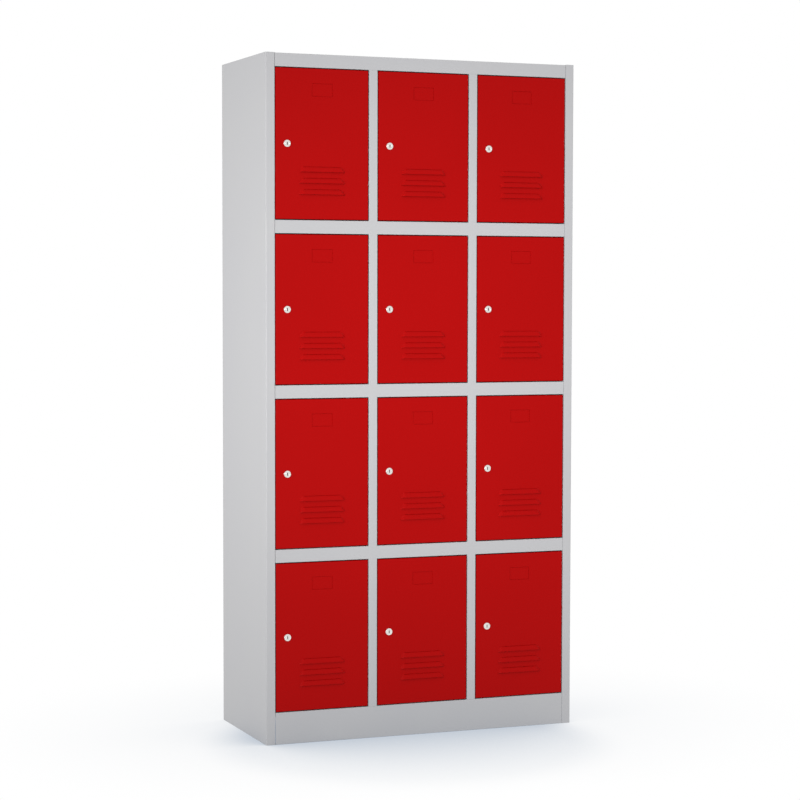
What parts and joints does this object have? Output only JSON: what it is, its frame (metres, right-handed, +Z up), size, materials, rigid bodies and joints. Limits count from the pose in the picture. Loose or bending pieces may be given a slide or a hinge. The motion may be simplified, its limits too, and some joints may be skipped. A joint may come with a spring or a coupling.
{
  "type": "coin operated locker",
  "caption": "Steel locker cabinet with rows of small louvred doors, each on hidden pin hinges with a coin-return cam lock behind a round key cylinder.",
  "frame": {"origin": "middle of the footprint's outer box at floor level", "axes": "+Z up, doors face -Y, +X to the right as seen from the front"},
  "size_m": [0.9, 0.4046, 1.85],
  "materials": {
    "grey_powder_coat": "light grey powder coat, satin",
    "red_powder_coat": "red powder coat, satin",
    "nickel_plate": "nickel plate, polished",
    "zinc_steel": "zinc-plated steel",
    "black_oxide_steel": "chemically blackened and oiled steel",
    "black_moulding": "moulded black plastic, fine texture",
    "black_rubber": "black rubber"
  },
  "bodies": {
    "cabinet": {"side_panel_left": "grey_powder_coat", "side_panel_right": "grey_powder_coat", "back_panel": "grey_powder_coat", "top_panel": "grey_powder_coat", "bottom_panel": "grey_powder_coat", "plinth": "grey_powder_coat", "partition_1": "grey_powder_coat", "partition_2": "grey_powder_coat", "shelf_row_1": "grey_powder_coat", "shelf_row_2": "grey_powder_coat", "shelf_row_3": "grey_powder_coat", "hinge_pins": "black_oxide_steel"},
    "leaf_01": {"door_01": "red_powder_coat", "coin_lock_01": "black_moulding", "lock_barrel_01": "nickel_plate"},
    "plug_01": {"lock_cam_01": "nickel_plate"},
    "leaf_02": {"door_02": "red_powder_coat", "coin_lock_02": "black_moulding", "lock_barrel_02": "nickel_plate"},
    "plug_02": {"lock_cam_02": "nickel_plate"},
    "leaf_03": {"door_03": "red_powder_coat", "coin_lock_03": "black_moulding", "lock_barrel_03": "nickel_plate"},
    "plug_03": {"lock_cam_03": "nickel_plate"},
    "leaf_04": {"door_04": "red_powder_coat", "coin_lock_04": "black_moulding", "lock_barrel_04": "nickel_plate"},
    "plug_04": {"lock_cam_04": "nickel_plate"},
    "leaf_05": {"door_05": "red_powder_coat", "coin_lock_05": "black_moulding", "lock_barrel_05": "nickel_plate"},
    "plug_05": {"lock_cam_05": "nickel_plate"},
    "leaf_06": {"door_06": "red_powder_coat", "coin_lock_06": "black_moulding", "lock_barrel_06": "nickel_plate"},
    "plug_06": {"lock_cam_06": "nickel_plate"},
    "leaf_07": {"door_07": "red_powder_coat", "coin_lock_07": "black_moulding", "lock_barrel_07": "nickel_plate"},
    "plug_07": {"lock_cam_07": "nickel_plate"},
    "leaf_08": {"door_08": "red_powder_coat", "coin_lock_08": "black_moulding", "lock_barrel_08": "nickel_plate"},
    "plug_08": {"lock_cam_08": "nickel_plate"},
    "leaf_09": {"door_09": "red_powder_coat", "coin_lock_09": "black_moulding", "lock_barrel_09": "nickel_plate"},
    "plug_09": {"lock_cam_09": "nickel_plate"},
    "leaf_10": {"door_10": "red_powder_coat", "coin_lock_10": "black_moulding", "lock_barrel_10": "nickel_plate"},
    "plug_10": {"lock_cam_10": "nickel_plate"},
    "leaf_11": {"door_11": "red_powder_coat", "coin_lock_11": "black_moulding", "lock_barrel_11": "nickel_plate"},
    "plug_11": {"lock_cam_11": "nickel_plate"},
    "leaf_12": {"door_12": "red_powder_coat", "coin_lock_12": "black_moulding", "lock_barrel_12": "nickel_plate"},
    "plug_12": {"lock_cam_12": "nickel_plate"}
  },
  "joints": [
    {"name": "door_01_hinge", "type": "hinge", "parent": "cabinet", "child": "leaf_01", "pos_m": [-0.1685, -0.19275, 1.6105], "axis": [0, 0, 1], "range_deg": [0, 110]},
    {"name": "lock_01_turn", "type": "hinge", "parent": "leaf_01", "child": "plug_01", "pos_m": [-0.3902, -0.18775, 1.6105], "axis": [0, 1, 0], "range_deg": [0, 90]},
    {"name": "door_02_hinge", "type": "hinge", "parent": "cabinet", "child": "leaf_02", "pos_m": [0.123, -0.19275, 1.6105], "axis": [0, 0, 1], "range_deg": [0, 110]},
    {"name": "lock_02_turn", "type": "hinge", "parent": "leaf_02", "child": "plug_02", "pos_m": [-0.0987, -0.18775, 1.6105], "axis": [0, 1, 0], "range_deg": [0, 90]},
    {"name": "door_03_hinge", "type": "hinge", "parent": "cabinet", "child": "leaf_03", "pos_m": [0.4145, -0.19275, 1.6105], "axis": [0, 0, 1], "range_deg": [0, 110]},
    {"name": "lock_03_turn", "type": "hinge", "parent": "leaf_03", "child": "plug_03", "pos_m": [0.1928, -0.18775, 1.6105], "axis": [0, 1, 0], "range_deg": [0, 90]},
    {"name": "door_04_hinge", "type": "hinge", "parent": "cabinet", "child": "leaf_04", "pos_m": [-0.1685, -0.19275, 1.17], "axis": [0, 0, 1], "range_deg": [0, 110]},
    {"name": "lock_04_turn", "type": "hinge", "parent": "leaf_04", "child": "plug_04", "pos_m": [-0.3902, -0.18775, 1.17], "axis": [0, 1, 0], "range_deg": [0, 90]},
    {"name": "door_05_hinge", "type": "hinge", "parent": "cabinet", "child": "leaf_05", "pos_m": [0.123, -0.19275, 1.17], "axis": [0, 0, 1], "range_deg": [0, 110]},
    {"name": "lock_05_turn", "type": "hinge", "parent": "leaf_05", "child": "plug_05", "pos_m": [-0.0987, -0.18775, 1.17], "axis": [0, 1, 0], "range_deg": [0, 90]},
    {"name": "door_06_hinge", "type": "hinge", "parent": "cabinet", "child": "leaf_06", "pos_m": [0.4145, -0.19275, 1.17], "axis": [0, 0, 1], "range_deg": [0, 110]},
    {"name": "lock_06_turn", "type": "hinge", "parent": "leaf_06", "child": "plug_06", "pos_m": [0.1928, -0.18775, 1.17], "axis": [0, 1, 0], "range_deg": [0, 90]},
    {"name": "door_07_hinge", "type": "hinge", "parent": "cabinet", "child": "leaf_07", "pos_m": [-0.1685, -0.19275, 0.7295], "axis": [0, 0, 1], "range_deg": [0, 110]},
    {"name": "lock_07_turn", "type": "hinge", "parent": "leaf_07", "child": "plug_07", "pos_m": [-0.3902, -0.18775, 0.7295], "axis": [0, 1, 0], "range_deg": [0, 90]},
    {"name": "door_08_hinge", "type": "hinge", "parent": "cabinet", "child": "leaf_08", "pos_m": [0.123, -0.19275, 0.7295], "axis": [0, 0, 1], "range_deg": [0, 110]},
    {"name": "lock_08_turn", "type": "hinge", "parent": "leaf_08", "child": "plug_08", "pos_m": [-0.0987, -0.18775, 0.7295], "axis": [0, 1, 0], "range_deg": [0, 90]},
    {"name": "door_09_hinge", "type": "hinge", "parent": "cabinet", "child": "leaf_09", "pos_m": [0.4145, -0.19275, 0.7295], "axis": [0, 0, 1], "range_deg": [0, 110]},
    {"name": "lock_09_turn", "type": "hinge", "parent": "leaf_09", "child": "plug_09", "pos_m": [0.1928, -0.18775, 0.7295], "axis": [0, 1, 0], "range_deg": [0, 90]},
    {"name": "door_10_hinge", "type": "hinge", "parent": "cabinet", "child": "leaf_10", "pos_m": [-0.1685, -0.19275, 0.289], "axis": [0, 0, 1], "range_deg": [0, 110]},
    {"name": "lock_10_turn", "type": "hinge", "parent": "leaf_10", "child": "plug_10", "pos_m": [-0.3902, -0.18775, 0.289], "axis": [0, 1, 0], "range_deg": [0, 90]},
    {"name": "door_11_hinge", "type": "hinge", "parent": "cabinet", "child": "leaf_11", "pos_m": [0.123, -0.19275, 0.289], "axis": [0, 0, 1], "range_deg": [0, 110]},
    {"name": "lock_11_turn", "type": "hinge", "parent": "leaf_11", "child": "plug_11", "pos_m": [-0.0987, -0.18775, 0.289], "axis": [0, 1, 0], "range_deg": [0, 90]},
    {"name": "door_12_hinge", "type": "hinge", "parent": "cabinet", "child": "leaf_12", "pos_m": [0.4145, -0.19275, 0.289], "axis": [0, 0, 1], "range_deg": [0, 110]},
    {"name": "lock_12_turn", "type": "hinge", "parent": "leaf_12", "child": "plug_12", "pos_m": [0.1928, -0.18775, 0.289], "axis": [0, 1, 0], "range_deg": [0, 90]}
  ]
}
